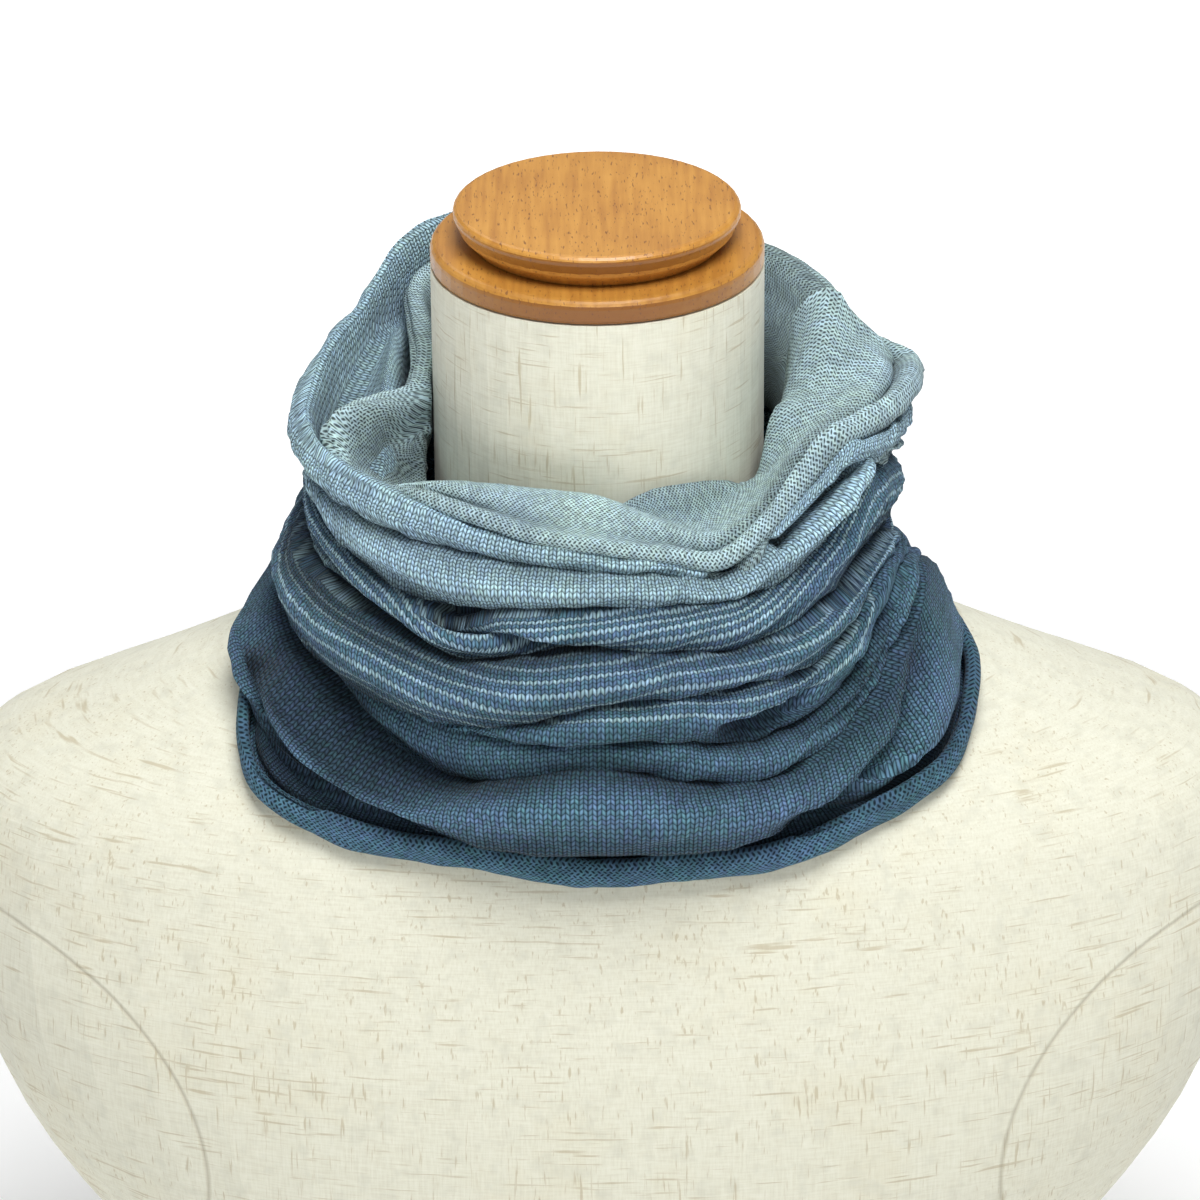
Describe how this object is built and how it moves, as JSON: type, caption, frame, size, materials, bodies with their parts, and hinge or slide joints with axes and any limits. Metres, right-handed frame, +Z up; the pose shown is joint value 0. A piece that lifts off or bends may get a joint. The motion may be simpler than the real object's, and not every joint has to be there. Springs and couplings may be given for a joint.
{
  "type": "knitted neck warmer worn on a limbless linen dress form",
  "caption": "Seamless knitted tube neck warmer slouched in soft folds round the neck of a limbless linen dress form with a turned wooden neck cap.",
  "frame": {"origin": "middle of the dress form's flat underside", "axes": "+Z up along the neck, -Y towards the front of the form, +X towards the viewer's right as seen from the front"},
  "size_m": [0.44, 0.206, 0.462],
  "materials": {
    "jersey": "matte knit",
    "linen": "matte weave",
    "beech": "satin lacquer"
  },
  "bodies": {
    "root": {"neck_warmer": "jersey", "dress_form": "linen", "cap_base": "beech", "cap_top": "beech"}
  },
  "joints": []
}
